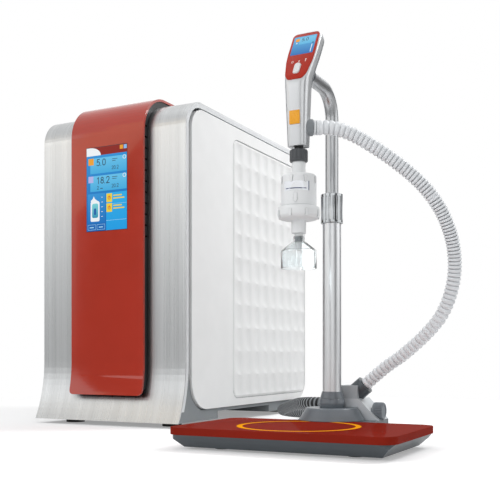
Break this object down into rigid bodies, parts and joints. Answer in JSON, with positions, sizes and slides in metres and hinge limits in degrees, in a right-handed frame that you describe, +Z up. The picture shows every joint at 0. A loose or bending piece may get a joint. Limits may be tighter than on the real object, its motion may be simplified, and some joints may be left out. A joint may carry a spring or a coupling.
{
  "type": "ultrapure water system",
  "caption": "Bench water purification cabinet with a display fascia, linked by hoses to a stand that holds a corded dispensing handset with a capsule filter and bell.",
  "frame": {"origin": "on the bench under the middle of the whole set, cabinet, stand and fittings together", "axes": "+Z up, -Y towards the user, +X to the right"},
  "size_m": [0.7423, 0.7616, 0.546],
  "materials": {
    "chassis_grey": "moulded grey",
    "rubber_black": "soft black",
    "steel": "brushed",
    "trim_light": "satin light grey",
    "frame_black": "powder coat",
    "zinc_grey": "powder coat",
    "fascia_red": "high gloss",
    "spacer_black": "satin black",
    "display_glass": "gloss",
    "cartridge_white": "smooth white",
    "cartridge_blue": "smooth pale blue",
    "pump_dark": "painted",
    "polished_tube": "satin",
    "board_green": "solder mask",
    "connector_black": "satin",
    "switch_white": "smooth",
    "fitting_grey": "smooth",
    "panel_white": "satin white",
    "quilt_white": "quilted white",
    "stud_nylon": "nylon",
    "plate_red": "gloss",
    "ring_orange": "gloss",
    "dark_plastic": "satin",
    "pole_alu": "anodised satin",
    "chrome": "polished",
    "bush_acetal": "smooth",
    "bracket_grey": "satin",
    "housing_grey": "satin light grey",
    "hose_dark": "corrugated",
    "hose_light": "corrugated",
    "shell_silver": "silver lacquer",
    "shell_back": "ribbed grey",
    "badge_orange": "gloss",
    "nut_grey": "ribbed",
    "capsule_white": "smooth",
    "bell_clear": "clear",
    "rocker_silver": "satin"
  },
  "bodies": {
    "base": {"base_chassis": "chassis_grey", "rubber_feet": "rubber_black", "steel_wrap": "steel", "edge_trims": "trim_light", "side_frames": "frame_black", "rear_panel": "zinc_grey", "fascia": "fascia_red", "fascia_spacer": "spacer_black", "display": "display_glass", "service_tray": "zinc_grey", "ro_module": "cartridge_white", "booster_pump": "pump_dark", "recirculation_pump": "pump_dark", "pretreatment_cartridge": "cartridge_white", "polishing_cartridge": "cartridge_blue", "cartridge_manifold": "connector_black", "uv_chamber": "polished_tube", "power_supply": "zinc_grey", "control_board": "board_green", "power_inlet": "connector_black", "water_fittings": "fitting_grey", "plate_top": "plate_red", "plate_ring": "ring_orange", "plate_tray": "dark_plastic", "plate_feet": "rubber_black", "pole_boss": "dark_plastic", "boss_ring": "dark_plastic", "boss_cap": "dark_plastic", "lower_pole": "pole_alu", "hose_bracket": "bracket_grey", "hose_socket": "dark_plastic", "valve_housing": "housing_grey", "umbilical_hose": "hose_dark", "dispense_hose_low": "hose_light"},
    "right_panel": {"right_side_panel": "panel_white", "right_quilt": "quilt_white", "right_studs": "stud_nylon"},
    "left_panel": {"left_side_panel": "panel_white", "left_quilt": "quilt_white", "left_studs": "stud_nylon"},
    "switch": {"power_switch": "switch_white"},
    "collar": {"clamp_collar": "chrome"},
    "knob": {"ribbed_knob": "bracket_grey"},
    "lift": {"guide_bush": "bush_acetal", "dispense_hose_mid": "hose_light"},
    "arm": {"upper_pole": "pole_alu", "cradle": "dark_plastic", "dispense_hose_top": "hose_light"},
    "handset": {"front_shell": "shell_silver", "back_shell": "shell_back", "bezel": "fascia_red", "screen": "display_glass", "badge": "badge_orange", "hose_gland": "bracket_grey", "neck": "connector_black"},
    "rocker": {"thumb_rocker": "rocker_silver"},
    "nut": {"filter_nut": "nut_grey"},
    "filter": {"capsule_filter": "capsule_white", "filter_base": "capsule_white"},
    "bell": {"dispense_bell": "bell_clear"}
  },
  "joints": [
    {"name": "pole_lift", "type": "slide", "parent": "base", "child": "lift", "axis": [0, 0, 1], "range_m": [-0.1, 0.06], "deforming": ["dispense_hose_low"]},
    {"name": "pole_swivel", "type": "hinge", "parent": "lift", "child": "arm", "pos_m": [0.207, -0.17625, 0.333], "axis": [0, 0, 1], "range_deg": [-60, 60], "deforming": ["dispense_hose_mid"]},
    {"name": "handset_pull", "type": "slide", "parent": "arm", "child": "handset", "axis": [0, -1, 0], "range_m": [0, 0.03], "deforming": ["dispense_hose_top"]},
    {"name": "rocker_press", "type": "hinge", "parent": "handset", "child": "rocker", "pos_m": [0.207, -0.29165, 0.47295], "axis": [1, 0, 0], "range_deg": [-4, 4], "stiffness_Nm_per_rad": 0.05},
    {"name": "nut_turn", "type": "hinge", "parent": "handset", "child": "nut", "pos_m": [0.207, -0.28925, 0.366], "axis": [0, 0, 1], "continuous": true},
    {"name": "filter_drop", "type": "slide", "parent": "handset", "child": "filter", "axis": [0, 0, -1], "range_m": [0, 0.03]},
    {"name": "bell_pull", "type": "slide", "parent": "filter", "child": "bell", "axis": [0, 0, -1], "range_m": [0, 0.015]},
    {"name": "collar_turn", "type": "hinge", "parent": "base", "child": "collar", "pos_m": [0.207, -0.17625, 0.315], "axis": [0, 0, 1], "range_deg": [-90, 90]},
    {"name": "knob_turn", "type": "hinge", "parent": "base", "child": "knob", "pos_m": [0.265, -0.14625, 0.04], "axis": [1, 0, 0], "range_deg": [-90, 90]},
    {"name": "right_panel_off", "type": "slide", "parent": "base", "child": "right_panel", "axis": [1, 0, 0], "range_m": [0, 0.04]},
    {"name": "left_panel_off", "type": "slide", "parent": "base", "child": "left_panel", "axis": [-1, 0, 0], "range_m": [0, 0.04]},
    {"name": "power_rocker", "type": "hinge", "parent": "base", "child": "switch", "pos_m": [-0.245, 0.36475, 0.075], "axis": [1, 0, 0], "range_deg": [-16, 0]}
  ]
}
